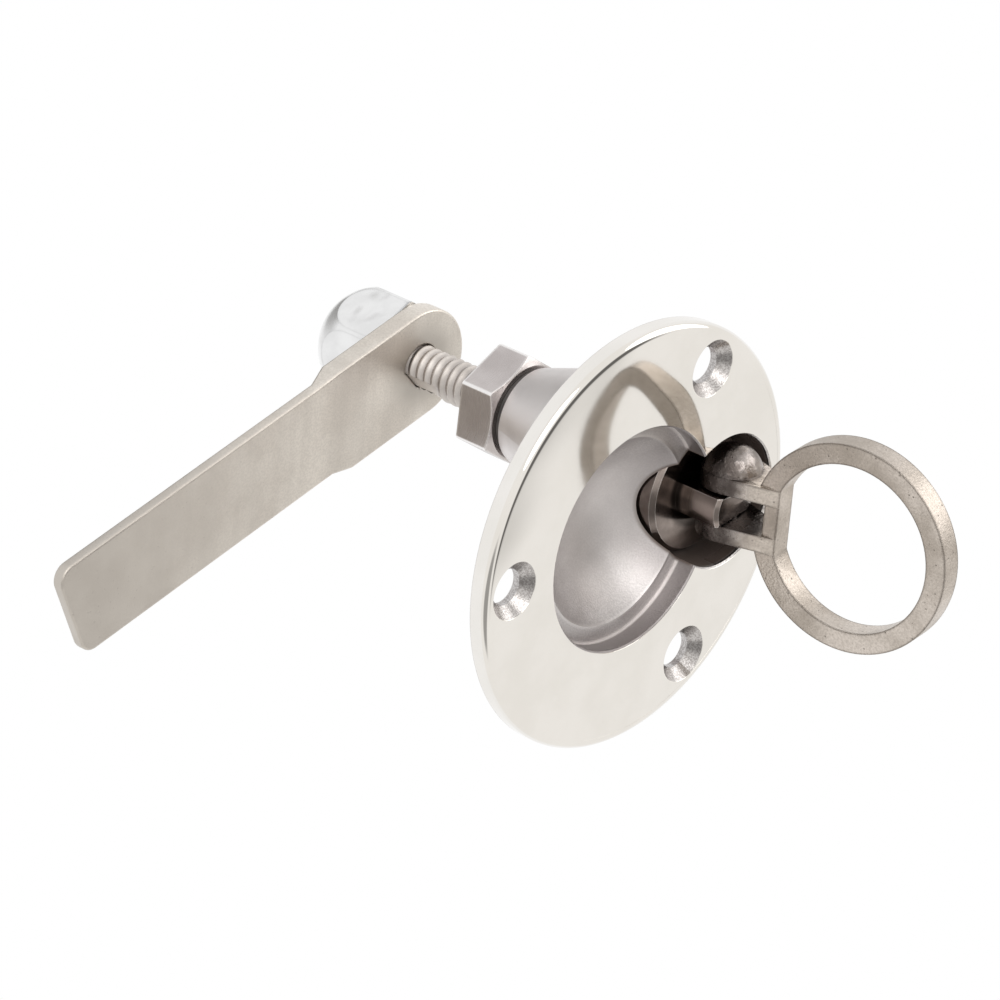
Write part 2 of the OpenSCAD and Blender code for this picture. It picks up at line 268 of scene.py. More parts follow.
def bump(tree, shader, height, depth_mm, strength):
    look = {"Height": height, "Distance": depth_mm * MM, "Strength": strength}
    feed(tree, shader["Normal"], add(tree, "ShaderNodeBump", look).outputs["Normal"])


# %% Measure from an upright axis
def distance_from_axis(tree, where, x):
    """Distance of the surface from an upright axis at x, in metres."""
    return vector_value(tree, "DISTANCE", vector_node(tree, "MULTIPLY", where, FLATTEN), (x, 0.0, 0.0))


# %% [markdown]
# ## The flange: where each finish lies
# The real flange is one casting with several finishes. Its front and its rim are polished on
# a wheel, its dish and bowl are blasted, its countersinks are cut, its barrel is turned, and
# the bore round the hinge is painted dark as shade and made dull. Several materials on picked
# faces would leave hard seams, so one material reads height and radius, and each finish gets
# a mask with a soft edge.

# %% Masks of the flange
RIM_INNER = 35.8 * MM
SINK_INNER = 24.6 * MM
BORE_SHADE_R = 12.0 * MM
BORE_FLOOR_Z = -13.0 * MM
BARREL_FROM_Z = -2.0 * MM
BARREL_FULL_Z = -14.0 * MM
flange_material, tree, shader = finish("flange_polish", (0.86, 0.83, 0.8), 1.0, 0.05)
where = surface_point(tree)
z = split_point(tree, where)["Z"]
radius = distance_from_axis(tree, where, 0.0)
from_spindle = distance_from_axis(tree, where, axis_x)
face = ramp(tree, z, front_z - 0.1 * MM, front_z - 0.03 * MM)
above_seat = ramp(tree, z, 0.05 * MM, 0.15 * MM)
rim = times(tree, ramp(tree, radius, RIM_INNER - 0.05 * MM, RIM_INNER + 0.15 * MM), above_seat)
polished = math_node(tree, "MAXIMUM", face, rim, clamp=True)
sink = times(tree, ramp(tree, radius, SINK_INNER, SINK_INNER + 0.6 * MM), above_seat)
turned = ramp(tree, z, BARREL_FROM_Z, BARREL_FULL_Z)
below_face = ramp(tree, z, front_z - 0.2 * MM, front_z - 1.2 * MM)
above_floor = ramp(tree, z, BORE_FLOOR_Z, BORE_FLOOR_Z + 1.4 * MM)
# Mask of the painted shade inside the bore.
bore = times(tree, ramp(tree, from_spindle, BORE_SHADE_R + 0.6 * MM, BORE_SHADE_R), below_face)
bore = times(tree, bore, above_floor)
print("masks for", flange_material.name)

# %% [markdown]
# ## The flange: blasted casting
# Blasted steel is grey and speckled, with cloudy tones, and a painted highlight along its edges.
# The countersinks were cut after the blasting, so they sparkle in coarser spots. Flat grey with
# a bump would look like plastic, so the tone varies as well, and both use the same grain.

# %% Tones of the casting
grain = place(tree, grain_group, Grain_per_mm=3.2, Cloud_per_mm=0.1)
edge = place(tree, edge_group, Width_mm=0.35)["Edge"]
cast_tone = mix_color(tree, grain["Cloud"], (0.66, 0.63, 0.625), (0.8, 0.775, 0.77))
speckle = ramp(tree, grain["Height"], 0.35, 0.62, 0.0, 0.35)
cast_tone = mix_color(tree, speckle, cast_tone, (0.42, 0.4, 0.395))
# Painted highlight along the casting's edges.
cast_tone = mix_color(tree, times(tree, edge, 0.6), cast_tone, (0.8, 0.78, 0.77))
sparkle = ramp(tree, grain["Height"], 0.4, 0.6)
sink_tone = mix_color(tree, sparkle, (0.34, 0.32, 0.31), (0.6, 0.58, 0.57))
cast_tone = mix_color(tree, times(tree, sink, 0.85), cast_tone, sink_tone)
print("casting toned for", flange_material.name)

# %% [markdown]
# ## The flange: dish, bowl and bore
# The upright wall of the dish is painted darker than the ledge below it, as shade, and both
# corners of the ledge get a painted highlight. Painted shade also darkens the bowl beside the
# bore. Painted faces would need cuts in the solid, so each of these is a distance in the
# material: from the dish's axis, from a corner's circle, from the middle of the bowl's sphere.

# %% Painted shade on the dish wall and painted highlights on the ledge corners
DISH_X = 1.0 * MM
DISH_R = 19.7 * MM
LIP_R = 16.7 * MM
LEDGE_HIGHLIGHT_TONE = (0.95, 0.92, 0.91)
ledge_z = front_z - 3.85 * MM
from_dish = distance_from_axis(tree, where, DISH_X)
above_ledge = ramp(tree, z, ledge_z - 0.6 * MM, ledge_z - 0.4 * MM)
in_dish = times(tree, above_ledge, ramp(tree, from_dish, DISH_R + 0.4 * MM, DISH_R + 0.2 * MM))
wall = times(tree, in_dish, ramp(tree, from_dish, DISH_R - 0.3 * MM, DISH_R - 0.1 * MM))
# Painted shade on the upright wall of the dish.
cast_tone = mix_color(tree, times(tree, wall, 0.75), cast_tone, (0.3, 0.275, 0.275))
up = math_node(tree, "SUBTRACT", z, ledge_z)
# Painted highlights along both corners of the ledge.
for corner_r, strength in ((LIP_R, 0.35), (DISH_R, 0.7)):
    out = math_node(tree, "SUBTRACT", from_dish, corner_r)
    gap_squared = math_node(tree, "ADD", times(tree, out, out), times(tree, up, up))
    gap = math_node(tree, "SQRT", gap_squared)
    line = times(tree, in_dish, ramp(tree, gap, 0.6 * MM, 0.2 * MM, 0.0, strength))
    cast_tone = mix_color(tree, line, cast_tone, LEDGE_HIGHLIGHT_TONE)
print("ledge corners at", round(LIP_R / MM, 1), round(DISH_R / MM, 1), "mm")

# %% Painted shade in the bowl and the bore
BOWL_R = 19.5 * MM
BOWL_SHADE_FROM = 22.0 * MM
BOWL_SHADE_FULL = 13.5 * MM
bowl_middle_z = front_z - 13.3 * MM + BOWL_R
from_bowl = vector_value(tree, "DISTANCE", where, (DISH_X, 0.0, bowl_middle_z))
in_bowl = ramp(tree, from_bowl, BOWL_R + 0.6 * MM, BOWL_R + 0.3 * MM)
# Painted shade in the bowl beside the bore.
bowl_shade = times(tree, in_bowl, ramp(tree, from_spindle, BOWL_SHADE_FROM, BOWL_SHADE_FULL, 0.0, 0.6))
cast_tone = mix_color(tree, bowl_shade, cast_tone, (0.36, 0.33, 0.33))
# Painted shade inside the bore, which is also made less metallic.
cast_tone = mix_color(tree, bore, cast_tone, (0.17, 0.135, 0.12))
feed(tree, shader["Metallic"], ramp(tree, bore, 0.0, 1.0, 1.0, 0.3))
print("smear reaches", round(BOWL_SHADE_FROM / MM, 1), "mm from the spindle's axis")

# %% [markdown]
# ## The flange: turned barrel and mirror
# The barrel is turned and smoother than the casting, and the front is a mirror. No polished
# plate is quite flat: the wheel rounds it off toward the rim and leaves slow waves, and these
# bend the reflections. A curved mesh could do that, but the solid is flat, so a crown and a
# slow noise go into the bump. Polishing also wipes out the grain, which the masks take away.

# %% Tone and roughness of the whole flange
barrel_tone = mix_color(tree, grain["Cloud"], (0.69, 0.655, 0.645), (0.81, 0.775, 0.765))
cast_tone = mix_color(tree, turned, cast_tone, barrel_tone)
mirror_tone = mix_color(tree, grain["Cloud"], (0.82, 0.795, 0.755), (0.86, 0.835, 0.8))
feed(tree, shader["Base Color"], mix_color(tree, polished, cast_tone, mirror_tone))
cast_rough = ramp(tree, grain["Cloud"], 0.0, 1.0, 0.42, 0.5)
cast_rough = mix_value(tree, turned, cast_rough, 0.44)
cast_rough = mix_value(tree, sink, cast_rough, 0.24)
mirror_rough = ramp(tree, grain["Cloud"], 0.0, 1.0, 0.05, 0.075)
feed(tree, shader["Roughness"], mix_value(tree, polished, cast_rough, mirror_rough))
print("tones of", flange_material.name)

# %% Grain, waves and crown
WAVES_PER_METRE = 50.0
WAVE = 8.0
CROWN = 18000.0
smooth = math_node(tree, "MAXIMUM", polished, times(tree, turned, 0.9))
smooth = math_node(tree, "MAXIMUM", smooth, times(tree, sink, 0.6))
rough_depth = times(tree, grain["Height"], math_node(tree, "SUBTRACT", 1.0, smooth))
wave = times(tree, noise(tree, where, WAVES_PER_METRE, 0.0), WAVE)
crown = times(tree, times(tree, radius, radius), -CROWN)
wheel = math_node(tree, "ADD", wave, crown)
bump(tree, shader, math_node(tree, "ADD", rough_depth, wheel), 0.12, 0.5)
print("finish:", flange_material.name)

# %% [markdown]
# ## Ring and arm: blasted castings
# The ring and the arm are castings that were blasted all over, so they are grey and soft, with
# cloudy tones and small pits. They could have two separate materials, but they differ only in
# tones, edge lines and the marks on each, which are partly painted shade. So one recipe makes
# both, and takes a further step for the marks of each: one under the speckles, one over them.

# %% Finish of a casting
PIT_TONE = (0.16, 0.14, 0.13)


def shade(tone, share):
    return tuple(channel * share for channel in tone)


def casting_finish(name, dark, light, edge_tone, rough, grain_mm, edge_mm, pitted, under=None, over=None):
    material, tree, shader = finish(name, light, 1.0, rough)
    grain = place(tree, grain_group, Grain_per_mm=2.6, Cloud_per_mm=0.1)
    edge = place(tree, edge_group, Width_mm=edge_mm)["Edge"]
    tone = mix_color(tree, grain["Cloud"], dark, light)
    if under:
        tone = under(tree, tone, dark)
    speckle = ramp(tree, grain["Height"], 0.36, 0.64, 0.0, 0.4)
    tone = mix_color(tree, speckle, tone, shade(dark, 0.75))
    tone = mix_color(tree, times(tree, grain["Pits"], pitted), tone, PIT_TONE)
    tone = mix_color(tree, times(tree, edge, 0.9), tone, edge_tone)
    spread = ramp(tree, grain["Cloud"], 0.0, 1.0, rough + 0.06, rough - 0.06)
    height = math_node(tree, "SUBTRACT", grain["Height"], grain["Pits"])
    if over:
        tone, spread, height = over(tree, grain["Cloud"], tone, spread, height)
    feed(tree, shader["Base Color"], tone)
    feed(tree, shader["Roughness"], spread)
    bump(tree, shader, height, grain_mm, 0.6)
    return material


# %% [markdown]
# ## Marks and painted shade on the arm
# The arm was drawn over a belt, which leaves soft bands across it. It is darker toward its far
# end, and painted shade darkens it round the rod. The bands could be painted, but a noise that a
# Mapping node turns with the arm and stretches across it looks less drawn.

# %% Bands and shade of the arm
ARM_CLOCK = math.radians(15.5)
BANDS_PER_METRE = (240.0, 12.0, 30.0)
ARM_SHADE_FROM_X = -10.0 * MM
ARM_SHADE_FULL_X = 60.0 * MM
ROD_SHADE_FROM = 10.5 * MM
ROD_SHADE_FULL = 4.0 * MM


def belt_marks_and_shade(tree, tone, dark):
    where = surface_point(tree)
    laid = {"Vector": where, "Rotation": (0.0, 0.0, -ARM_CLOCK), "Scale": BANDS_PER_METRE}
    band = noise(tree, add(tree, "ShaderNodeMapping", laid).outputs["Vector"], 1.0, 3.0)
    tone = mix_color(tree, ramp(tree, band, 0.35, 0.7, 0.0, 0.3), tone, shade(dark, 0.72))
    far_end = ramp(tree, split_point(tree, where)["X"], ARM_SHADE_FROM_X, ARM_SHADE_FULL_X, 0.0, 0.85)
    tone = mix_color(tree, far_end, tone, shade(dark, 0.7))
    # Painted shade round the rod.
    from_rod = distance_from_axis(tree, where, axis_x)
    at_rod = ramp(tree, from_rod, ROD_SHADE_FROM, ROD_SHADE_FULL, 0.0, 0.6)
    return mix_color(tree, at_rod, tone, shade(dark, 0.45))


# The arm's edges get a painted highlight.
arm_material = casting_finish(
    "arm_casting", dark=(0.8, 0.745, 0.68), light=(0.87, 0.815, 0.745), edge_tone=(0.9, 0.87, 0.83),
    rough=0.42, grain_mm=0.035, edge_mm=0.3, pitted=0.08, under=belt_marks_and_shade)
print("finish:", arm_material.name)

# %% [markdown]
# ## Painted shade and lumps on the ring's lugs
# Near the hinge the casting is lumpy and mottled, and it is darkened toward the bore with painted
# shade, which stands in for the dark bore that it reflects. The inside of the fork is painted
# black as shade, and so is the heel that turns down into the bore. A sculpted mesh would give the
# lumps a real outline, but they are far smaller than the lug, so a strong bump does. The heel's
# shade follows a slanting direction from the pin, as the heel itself does.

# %% Painted shade in the fork and on the heel
FORK_HALF = 3.0 * MM
HEELWARD = Vector((0.67, 0.0, -0.74))
HEEL_FROM = -2.2 * MM
HEEL_FULL = 1.0 * MM
lug_shade_z = front_z + 3.0 * MM


def fork_and_heel_shade(tree, tone):
    where = surface_point(tree)
    _, y, z = split_point(tree, where)
    inside = ramp(tree, math_node(tree, "ABSOLUTE", y), FORK_HALF + 0.05 * MM, FORK_HALF - 0.05 * MM)
    fork_shade = times(tree, inside, ramp(tree, z, lug_shade_z + 6.0 * MM, lug_shade_z + 4.0 * MM))
    # Painted shade inside the fork.
    tone = mix_color(tree, times(tree, fork_shade, 0.9), tone, (0.05, 0.042, 0.04))
    from_pin = vector_node(tree, "SUBTRACT", where, (pin_x, 0.0, pin_z))
    past_pin = vector_value(tree, "DOT_PRODUCT", from_pin, HEELWARD)
    heel = ramp(tree, past_pin, HEEL_FROM, HEEL_FULL, 0.0, 0.88)
    # Painted shade on the heel.
    return mix_color(tree, heel, tone, (0.08, 0.067, 0.062))


# %% Mottled lugs with painted shade
LUG_SHADE_FADE = 7.0 * MM
LUG_SHADE_UNEVEN = 1.5 * MM
LUMPS_PER_METRE = 420.0
LUMP = 5.0


def lug_mottle_and_shade(tree, cloud, tone, spread, height):
    where = surface_point(tree)
    uneven_z = math_node(tree, "ADD", split_point(tree, where)["Z"], times(tree, cloud, LUG_SHADE_UNEVEN))
    shaded_lug = ramp(tree, uneven_z, lug_shade_z + LUG_SHADE_FADE, lug_shade_z)
    lumps = noise(tree, where, LUMPS_PER_METRE, 4.0)
    mottled_shade = mix_color(tree, ramp(tree, lumps, 0.38, 0.62), (0.13, 0.11, 0.105), (0.42, 0.385, 0.375))
    # Painted shade and dark reflection of the bore, mottled by the lumps.
    tone = mix_color(tree, times(tree, shaded_lug, 0.8), tone, mottled_shade)
    spread = mix_value(tree, shaded_lug, spread, ramp(tree, lumps, 0.35, 0.65, 0.34, 0.2))
    lumpy = times(tree, times(tree, lumps, shaded_lug), LUMP)
    return fork_and_heel_shade(tree, tone), spread, math_node(tree, "ADD", height, lumpy)


# The ring's edges get a painted dark reflection line.
ring_material = casting_finish(
    "ring_casting", dark=(0.48, 0.425, 0.37), light=(0.72, 0.65, 0.585), edge_tone=(0.1, 0.083, 0.07),
    rough=0.36, grain_mm=0.14, edge_mm=0.75, pitted=0.5, over=lug_mottle_and_shade)
print("finish:", ring_material.name)

# %% [markdown]
# ## Nuts, spindle and pin: turned and milled steel
# The spindle and the pin are turned, so their finish has very fine rings. The retaining nut is
# brushed, and the dome nut is polished bright. As with the castings, one recipe makes them all,
# with a further step for the marks that only one of them has. The dome nut's polish is a little
# wavy, which a slow swell in the bump gives, because its reflections would look drawn otherwise.

# %% Finish of a turned piece
SWELLS_PER_METRE = 170.0


def turned_finish(name, dark, light, edge_tone, rough, ring_mm, edge_mm=0.3, marks=None, swell=0.0):
    material, tree, shader = finish(name, light, 1.0, rough)
    rings = place(tree, ring_group, Centre=(axis_x, 0.0, 0.0), Rings_per_mm=5.0)
    cloud = place(tree, grain_group, Grain_per_mm=2.0, Cloud_per_mm=0.16)["Cloud"]
    edge = place(tree, edge_group, Width_mm=edge_mm)["Edge"]
    tone = mix_color(tree, cloud, dark, light)
    tone = mix_color(tree, edge, tone, edge_tone)
    if marks:
        tone = marks(tree, rings["Radius mm"], tone)
    feed(tree, shader["Base Color"], tone)
    spread = ramp(tree, rings["Height"], 0.2, 0.8, rough - 0.04, rough + 0.04)
    feed(tree, shader["Roughness"], spread)
    height = rings["Height"]
    if swell:
        waves = noise(tree, surface_point(tree), SWELLS_PER_METRE, 1.0)
        height = math_node(tree, "ADD", height, times(tree, waves, swell))
    bump(tree, shader, height, ring_mm, 0.3)
    return material


# The dome nut's edges get a painted dark reflection line.
dome_material = turned_finish(
    "dome_chrome", dark=(0.77, 0.77, 0.77), light=(0.85, 0.85, 0.85), edge_tone=(0.4, 0.4, 0.405),
    rough=0.06, ring_mm=0.0005, edge_mm=1.2, swell=4000.0)
pin_material = turned_finish(
    "pin_polished", dark=(0.3, 0.265, 0.245), light=(0.42, 0.38, 0.36), edge_tone=(0.3, 0.27, 0.25),
    rough=0.16, ring_mm=0.001)
print("finishes:", dome_material.name, pin_material.name)

# %% [markdown]
# ## Painted shade and highlights on the spindle and the nut
# The spindle's edges get a painted highlight, but a corner that points inward gets none. At the
# foot of the spindle's tongue a dark ring of painted shade covers that corner instead. The nut's
# six corners get a painted highlight over their whole rounding. The edge line effect finds only
# sharp edges, so the nut's tone follows the distance from the axis.

# %% Painted shade at the foot of the tongue
FOOT_FULL_MM = 6.2
FOOT_END_MM = 7.4
head_z = front_z - 6.3 * MM


def tongue_foot_shade(tree, radius_mm, tone):
    z = split_point(tree, surface_point(tree))["Z"]
    near_head = ramp(tree, z, head_z + 1.4 * MM, head_z + 0.5 * MM)
    foot = times(tree, near_head, ramp(tree, radius_mm, FOOT_END_MM, FOOT_FULL_MM))
    # Painted shade in the corner at the foot of the tongue.
    return mix_color(tree, foot, tone, (0.1, 0.085, 0.077))


# The front of the spindle gets a dark tone as painted shade, since it sits down in the bore, and its
# edges a painted highlight.
spindle_material = turned_finish(
    "spindle_turned", dark=(0.18, 0.15, 0.135), light=(0.34, 0.29, 0.265), edge_tone=(0.88, 0.84, 0.81),
    rough=0.2, ring_mm=0.002, marks=tongue_foot_shade)
print("finish:", spindle_material.name)

# %% Painted highlight on the nut's corners
NUT_CORNER_HIGHLIGHT = (0.95, 0.93, 0.92)
nut_axis = Vector((axis_x, 0.0))
nut_corner_mm = max((v.co.xy - nut_axis).length for v in nodes["retaining_nut"].data.vertices) / MM


def highlighted_corners(tree, radius_mm, tone):
    # Painted highlight over the rounding of the six corners.
    corner_highlight = ramp(tree, radius_mm, nut_corner_mm - 0.26, nut_corner_mm - 0.12, 0.0, 0.85)
    return mix_color(tree, corner_highlight, tone, NUT_CORNER_HIGHLIGHT)


nut_material = turned_finish(
    "nut_satin", dark=(0.5, 0.46, 0.45), light=(0.58, 0.54, 0.53), edge_tone=NUT_CORNER_HIGHLIGHT,
    rough=0.25, ring_mm=0.0004, edge_mm=0.9, marks=highlighted_corners)
print("finish:", nut_material.name, "corner radius", round(nut_corner_mm, 2), "mm")

# %% [markdown]
# ## Marks on the rod
# The threaded rod is bright on its crests and painted darker in its roots, as shade, so its tone
# follows the distance from the axis. The flat that drives the arm has no roots, and is left out
# by the way its faces point. A line of painted black shade lies in the corner of the flat next to
# the arm, and three distances mark that corner.

# %% Painted shade in the roots and at the flat
THREAD_ROOT_MM = 3.5
FLAT_CLOCK = math.radians(43)
flat_way = Vector((math.cos(FLAT_CLOCK), math.sin(FLAT_CLOCK), 0))
across_flat = Vector((-flat_way.y, flat_way.x, 0))
FLAT_SHADE_ACROSS = 1.7 * MM
FLAT_SHADE_OUT = 2.0 * MM
flat_shade_z = arm_front_z + 3.5 * MM


def shaded_roots_and_flat(tree, radius_mm, tone):
    root = ramp(tree, radius_mm, THREAD_ROOT_MM + 0.32, THREAD_ROOT_MM + 0.02, 0.0, 0.45)
    facing = add(tree, "ShaderNodeTexCoord").outputs["Normal"]
    off_flat = ramp(tree, vector_value(tree, "DOT_PRODUCT", facing, flat_way), 0.97, 0.9)
    # Painted shade in the thread's roots.
    tone = mix_color(tree, times(tree, root, off_flat), tone, (0.4, 0.37, 0.355))
    where = surface_point(tree)
    z = split_point(tree, where)["Z"]
    from_axis = vector_node(tree, "SUBTRACT", where, (axis_x, 0.0, 0.0))
    across = vector_value(tree, "DOT_PRODUCT", from_axis, across_flat)
    out = vector_value(tree, "DOT_PRODUCT", from_axis, flat_way)
    at_side = ramp(tree, across, FLAT_SHADE_ACROSS, FLAT_SHADE_ACROSS + 0.4 * MM)
    corner = times(tree, at_side, ramp(tree, out, FLAT_SHADE_OUT, FLAT_SHADE_OUT + 0.4 * MM))
    near_arm = ramp(tree, z, flat_shade_z + 1.0 * MM, flat_shade_z)
    # Painted shade in the corner of the flat next to the arm.
    return mix_color(tree, times(tree, corner, near_arm), tone, (0.04, 0.033, 0.028))


# The rod's edges get a painted highlight.
rod_material = turned_finish(
    "rod_thread", dark=(0.6, 0.56, 0.53), light=(0.73, 0.69, 0.66), edge_tone=(0.8, 0.77, 0.75),
    rough=0.5, ring_mm=0.001, edge_mm=0.12, marks=shaded_roots_and_flat)
print("finish:", rod_material.name)

# %% [markdown]
# ## Washers and seal: rubber and plastic
# The seal and the washer behind the barrel are black rubber, and the washer under the spindle
# head is pale bearing plastic. Neither is metal, so the metals' recipes don't fit. A plain
# shader would do for such small pieces, but a fine grain keeps their edges from looking cut out.

# %% Finish of the washers and the seal
def soft_finish(name, dark, light, rough):
    material, tree, shader = finish(name, light, 0.0, rough)
    grain = place(tree, grain_group, Grain_per_mm=6.0, Cloud_per_mm=0.3)
    feed(tree, shader["Base Color"], mix_color(tree, grain["Cloud"], dark, light))
    feed(tree, shader["Roughness"], ramp(tree, grain["Height"], 0.2, 0.8, rough - 0.1, rough + 0.1))
    bump(tree, shader, grain["Height"], 0.02, 0.5)
    return material


rubber_material = soft_finish("black_rubber", (0.06, 0.055, 0.052), (0.11, 0.1, 0.095), 0.5)
bearing_material = soft_finish("bearing_plastic", (0.76, 0.73, 0.67), (0.84, 0.81, 0.75), 0.4)
print("finishes:", rubber_material.name, bearing_material.name)

# %% [markdown]
# ## Rounded edges
# The solids have knife edges, and no casting has those. A Bevel modifier on the solid would
# do, but its loose triangles have to be merged first, and a solid's mesh isn't changed. So
# the ring, the arm and the nut are copied, merged, cleared of needless edges and bevelled,
# and the copy stands in for the solid. Weighted normals keep the flat faces flat.

# %% Copy a solid and round its edges
WELD = 0.01 * MM
FLAT_ANGLE = math.radians(0.6)
CORNER_ANGLE = math.radians(28)
ROUND_STEPS = 3
UPRIGHT = 0.99


def merged_copy(node):
    bm = bmesh.new()
    bm.from_mesh(nodes[node].data)
    bmesh.ops.remove_doubles(bm, verts=bm.verts, dist=WELD)
    bmesh.ops.dissolve_limit(bm, angle_limit=FLAT_ANGLE, verts=bm.verts, edges=bm.edges)
    return bm


def soften(bm, radius_mm, upright=False):
    """Rounds all corner edges, or only the upright ones."""
    corners = [e for e in bm.edges if e.is_manifold and e.calc_face_angle(0) > CORNER_ANGLE]
    if upright:
        corners = [e for e in corners if abs((e.verts[0].co - e.verts[1].co).normalized().z) > UPRIGHT]
    bmesh.ops.bevel(bm, geom=corners, offset=radius_mm * MM, offset_type="OFFSET", segments=ROUND_STEPS,
                    profile=0.5, affect="EDGES", material=-1, clamp_overlap=True)


# %% Make a piece of a mesh
def make_piece(bm, name, material, body, node=None, smooth_deg=40):
    mesh = bpy.data.meshes.new(name)
    bm.to_mesh(mesh)
    bm.free()
    if "custom_normal" in mesh.attributes:
        mesh.attributes.remove(mesh.attributes["custom_normal"])
    mesh.shade_smooth()
    mesh.set_sharp_from_angle(angle=math.radians(smooth_deg))
    mesh.materials.clear()
    mesh.materials.append(material)
    piece = bpy.data.objects.new(name, mesh)
    bpy.context.scene.collection.objects.link(piece)
    flats = piece.modifiers.new("flat_faces", "WEIGHTED_NORMAL")
    flats.keep_sharp = True
    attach(piece, body)
    if node:
        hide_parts(node)
    print(name, len(mesh.vertices), "vertices")


# %% Ring and arm with rounded edges
for node, name, radius_mm, material, body, slot_name in (
        ("pull_ring", "ring_cast", 0.12, ring_material, "ring", "blasted_steel"),
        ("cam_arm", "arm_cast", 0.5, arm_material, "spindle", "blasted_steel")):
    bm = merged_copy(node)
    soften(bm, radius_mm)
    make_piece(bm, name, material, body, node)

# %% Nut with its corners worn round
NUT_CORNER_ROUND_MM = 0.4
NUT_EDGE_ROUND_MM = 0.15
bm = merged_copy("retaining_nut")
soften(bm, NUT_CORNER_ROUND_MM, upright=True)
soften(bm, NUT_EDGE_ROUND_MM)
make_piece(bm, "nut_milled", nut_material, "spindle", "retaining_nut")

# %% [markdown]
# ## The polished rim
# A mirror shows every facet, and on the rim's small rounding the solid's facets would break
# the thin dark line of its reflection. The rim is a plain turned shape, so its outline is
# drawn once and spun finely, and lies on the solid's rim a hundredth of a millimetre proud.

# %% Outline of the rim
RIM_ROUND = 1.4 * MM
RIM_FOOT_Z = 0.02 * MM
PROUD = 0.01 * MM
ARC_STEPS = 96
HAIR = 0.001 * MM
flange_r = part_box("flange_body")[1].y + PROUD
rim_top_z = front_z + PROUD
arc_x = flange_r - RIM_ROUND
arc_z = rim_top_z - RIM_ROUND
upright = Matrix.Translation((arc_x, 0, arc_z)) @ Matrix.Rotation(math.pi / 2, 4, "X")
bm = bmesh.new()
arc = bmesh.ops.create_circle(bm, segments=ARC_STEPS, radius=RIM_ROUND, matrix=upright)
other_quarters = [v for v in arc["verts"] if v.co.x < arc_x - HAIR or v.co.z < arc_z - HAIR]
bmesh.ops.delete(bm, geom=other_quarters, context="VERTS")
ends = sorted(bm.verts, key=lambda v: v.co.x)
corners = [bm.verts.new(at) for at in (
    (flange_r, 0, RIM_FOOT_Z), (RIM_INNER, 0, RIM_FOOT_Z), (RIM_INNER, 0, rim_top_z))]
loop = [ends[-1], *corners, ends[0]]
for pair in zip(loop, loop[1:]):
    bm.edges.new(pair)
print("rim outline of", len(bm.verts), "points")

# %% Spin the rim
RIM_STEPS = 240
bmesh.ops.spin(bm, geom=bm.verts[:] + bm.edges[:], cent=(0, 0, 0), axis=(0, 0, 1), angle=math.tau,
               steps=RIM_STEPS, use_merge=True, use_duplicate=False)
bmesh.ops.remove_doubles(bm, verts=bm.verts, dist=HAIR)
bmesh.ops.recalc_face_normals(bm, faces=bm.faces)
make_piece(bm, "rim_polished", flange_material, "flange")

# %% [markdown]
# ## The threaded rod
# The solid rod is plain, because a thread is slow to build as a solid. On the real spindle it
# is rolled: one tooth that climbs by its pitch in each turn. Displacement would blur its
# crests, so one tooth's outline is spun about the axis while it climbs. The turns share
# their edges, and after merging them two planes trim the ends and a third cuts the flat
# that drives the arm.

# %% Trim with a plane
def trim(bm, point, away):
    """Cuts off what lies beyond a plane and closes the cut."""
    bmesh.ops.bisect_plane(bm, geom=bm.verts[:] + bm.edges[:] + bm.faces[:], dist=HAIR,
                           plane_co=point, plane_no=away, clear_outer=True)
    cut = [e for e in bm.edges if e.is_boundary
           and all(abs((v.co - point).dot(away)) < WELD for v in e.verts)]
    bmesh.ops.holes_fill(bm, edges=cut, sides=0)


# %% Spin one tooth into a thread
PITCH_MM = 1.75
CREST_MM = 4.0
SHOULDER_MM = CREST_MM - 0.08
TOOTH_MM = ((THREAD_ROOT_MM, 0.0), (THREAD_ROOT_MM, 0.3), (SHOULDER_MM, 0.82), (CREST_MM, 0.92),
            (CREST_MM, 1.08), (SHOULDER_MM, 1.18), (THREAD_ROOT_MM, PITCH_MM))
TURN_STEPS = 40
SPARE_TURNS = 3
TURN_WELD = 0.005 * MM


def thread(low_z, high_z):
    """Spins a thread that starts too low and ends too high, and trims it to its two ends."""
    pitch = PITCH_MM * MM
    turns = math.ceil((high_z - low_z) / pitch) + SPARE_TURNS
    start_z = low_z - 2 * pitch
    bm = bmesh.new()
    tooth = [bm.verts.new((axis_x + radius * MM, 0.0, start_z + rise * MM)) for radius, rise in TOOTH_MM]
    sides = [bm.edges.new(pair) for pair in zip(tooth, tooth[1:])]
    bmesh.ops.spin(bm, geom=tooth + sides, cent=(axis_x, 0, 0), axis=(0, 0, 1),
                   dvec=(0, 0, pitch / TURN_STEPS), angle=math.tau * turns, steps=TURN_STEPS * turns,
                   use_merge=False, use_duplicate=False)
    bmesh.ops.remove_doubles(bm, verts=bm.verts, dist=TURN_WELD)
    bmesh.ops.recalc_face_normals(bm, faces=bm.faces)
    trim(bm, Vector((axis_x, 0, low_z)), Vector((0, 0, -1)))
    trim(bm, Vector((axis_x, 0, high_z)), Vector((0, 0, 1)))
    bmesh.ops.recalc_face_normals(bm, faces=bm.faces)
    return bm


# %% Rod in two lengths, with the driving flat on the second
FLAT_OUT = 3.0 * MM
flat_z = arm_front_z + 7.0 * MM
joint_z = nut_rear_z + 3.0 * MM
bm = thread(flat_z, joint_z)
make_piece(bm, "rod_threaded", rod_material, "spindle", "spindle", smooth_deg=50)
bm = thread(rod_end_z, flat_z)
trim(bm, Vector((axis_x, 0, 0)) + flat_way * FLAT_OUT, flat_way)
make_piece(bm, "rod_with_flat", rod_material, "spindle", "spindle", smooth_deg=50)

